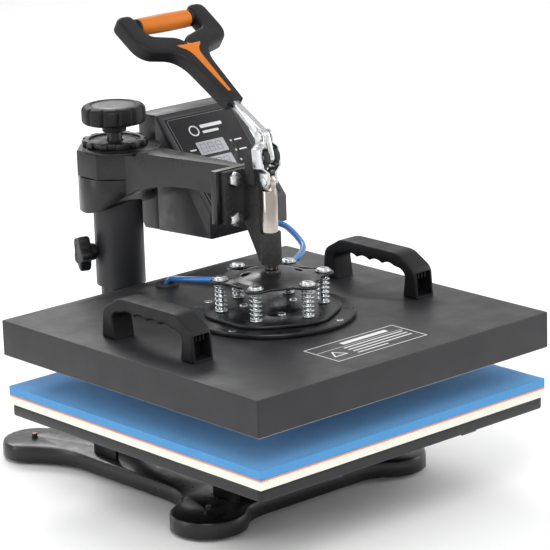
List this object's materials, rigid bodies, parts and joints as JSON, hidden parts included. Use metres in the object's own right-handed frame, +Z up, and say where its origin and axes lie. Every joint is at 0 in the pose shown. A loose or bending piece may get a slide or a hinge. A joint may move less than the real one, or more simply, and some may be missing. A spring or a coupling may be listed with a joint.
{
  "type": "heat press",
  "caption": "Swing-away heat press: padded lower plate on a cast base, column with a swinging head, toggle lever, sprung heated platen and a sloping control console.",
  "frame": {"origin": "middle of the footprint, on the table under the feet", "axes": "+Z up, the user stands on the -Y side, +X to the right of the user, with the console on the +X side"},
  "size_m": [0.385, 0.4942, 0.4731],
  "materials": {
    "cast_black": "smooth gloss black paint over castings",
    "rough_casting": "coarse black paint over a rough sand casting",
    "powder_coat": "fine satin black powder coat",
    "black_steel": "satin black finish on sheet and bar",
    "zinc": "bright zinc plate",
    "polished_steel": "ground and polished steel",
    "cast_aluminium": "machined cast aluminium",
    "black_plastic": "fine-textured moulded plastic",
    "console_plastic": "satin moulded plastic",
    "overlay_film": "printed film with a light satin gloss",
    "orange_plastic": "soft-touch orange plastic",
    "red_plastic": "red push buttons",
    "black_rubber": "moulded rubber",
    "blue_silicone": "blue silicone foam, fine open texture",
    "white_foam": "cream foam, fine open texture",
    "blue_hose": "glossy braided silicone sleeve"
  },
  "bodies": {
    "base": {"base_frame": "cast_black", "foot_front_left": "black_rubber", "foot_front_right": "black_rubber", "foot_rear_left": "black_rubber", "foot_rear_right": "black_rubber", "plate_support": "black_steel", "lower_plate": "cast_black", "foam_base": "white_foam", "foam_top": "blue_silicone", "column_post": "black_steel"},
    "swivel": {"lift_nut": "zinc"},
    "head": {"swing_arm": "cast_black", "column_sleeve": "powder_coat", "cover_disc": "black_steel", "ring_nut": "black_steel", "toggle_bracket": "rough_casting", "bracket_bolt_upper_left": "zinc", "bracket_bolt_upper_right": "zinc", "bracket_bolt_lower_left": "zinc", "bracket_bolt_lower_right": "zinc", "fork_pin": "zinc", "console_front": "console_plastic", "console_rear": "console_plastic", "control_overlay": "overlay_film", "power_inlet": "black_plastic", "heater_hose": "blue_hose"},
    "knob": {"pressure_knob": "black_plastic", "spindle": "zinc"},
    "star": {"star_knob": "black_plastic"},
    "lever": {"lever_bar": "zinc", "lever_handle": "black_plastic", "lever_grip": "orange_plastic", "link_pin": "zinc"},
    "link": {"link_plate_left": "zinc", "link_plate_right": "zinc"},
    "plunger": {"plunger_rod": "polished_steel", "spider_plate": "cast_black", "spring_1": "zinc", "spring_2": "zinc", "spring_3": "zinc", "spring_4": "zinc", "spring_5": "zinc", "spring_6": "zinc"},
    "platen": {"platen_cover": "powder_coat", "heat_plate": "cast_aluminium", "grommet": "black_rubber", "mount_disc": "black_steel", "spring_disc": "black_steel", "spring_bolt_1": "zinc", "spring_bolt_2": "zinc", "spring_bolt_3": "zinc", "spring_bolt_4": "zinc", "spring_bolt_5": "zinc", "spring_bolt_6": "zinc", "platen_handle_left": "black_plastic", "platen_handle_right": "black_plastic"},
    "button_down_key": {"button_down": "red_plastic"},
    "button_set_key": {"button_set": "red_plastic"},
    "button_up_key": {"button_up": "red_plastic"},
    "switch_rocker": {"power_switch": "black_plastic"}
  },
  "joints": [
    {"name": "swing", "type": "hinge", "parent": "base", "child": "swivel", "pos_m": [0, 0.18525, 0.285], "axis": [0, 0, 1], "range_deg": [-180, 180]},
    {"name": "height_adjust", "type": "slide", "parent": "swivel", "child": "head", "axis": [0, 0, 1], "range_m": [-0.003, 0.009]},
    {"name": "pressure_knob_turn", "type": "hinge", "parent": "head", "child": "knob", "pos_m": [0, 0.18525, 0.35], "axis": [0, 0, 1], "range_deg": [-272, 812]},
    {"name": "star_knob_turn", "type": "hinge", "parent": "head", "child": "star", "pos_m": [0, 0.18525, 0.2106], "axis": [-0.9205, 0.3907, 0], "range_deg": [0, 360]},
    {"name": "lever_swing", "type": "hinge", "parent": "head", "child": "lever", "pos_m": [0, -0.05475, 0.34594], "axis": [1, 0, 0], "range_deg": [0, 134]},
    {"name": "link_turn", "type": "hinge", "parent": "lever", "child": "link", "pos_m": [0, -0.04967, 0.36631], "axis": [1, 0, 0], "range_deg": [-105, 0.5]},
    {"name": "plunger_slide", "type": "slide", "parent": "head", "child": "plunger", "axis": [0, 0, -1], "range_m": [-0.0001, 0.0275], "deforming": ["heater_hose"]},
    {"name": "platen_float", "type": "slide", "parent": "plunger", "child": "platen", "axis": [0, 0, 1], "range_m": [0, 0.005], "stiffness_N_per_m": 20000, "springref_m": -0.004, "deforming": ["spring_1", "spring_2", "spring_3", "spring_4", "spring_5", "spring_6"]},
    {"name": "button_down_press", "type": "slide", "parent": "head", "child": "button_down_key", "axis": [0, 0.7501, -0.6613], "range_m": [0, 0.0012], "stiffness_N_per_m": 300, "springref_m": -0.001},
    {"name": "button_set_press", "type": "slide", "parent": "head", "child": "button_set_key", "axis": [0, 0.7501, -0.6613], "range_m": [0, 0.0012], "stiffness_N_per_m": 300, "springref_m": -0.001},
    {"name": "button_up_press", "type": "slide", "parent": "head", "child": "button_up_key", "axis": [0, 0.7501, -0.6613], "range_m": [0, 0.0012], "stiffness_N_per_m": 300, "springref_m": -0.001},
    {"name": "power_switch_rock", "type": "hinge", "parent": "head", "child": "switch_rocker", "pos_m": [0.124, 0.20333, 0.2525], "axis": [1, 0, 0], "range_deg": [0, 12]}
  ],
  "couplings": [
    {"joint": "pressure_knob_turn", "follows": "height_adjust", "rad_per_m": 1570.8},
    {"joint": "link_turn", "follows": "lever_swing", "ratio": -0.77373},
    {"joint": "plunger_slide", "follows": "lever_swing", "m_per_rad": 0.011684}
  ]
}
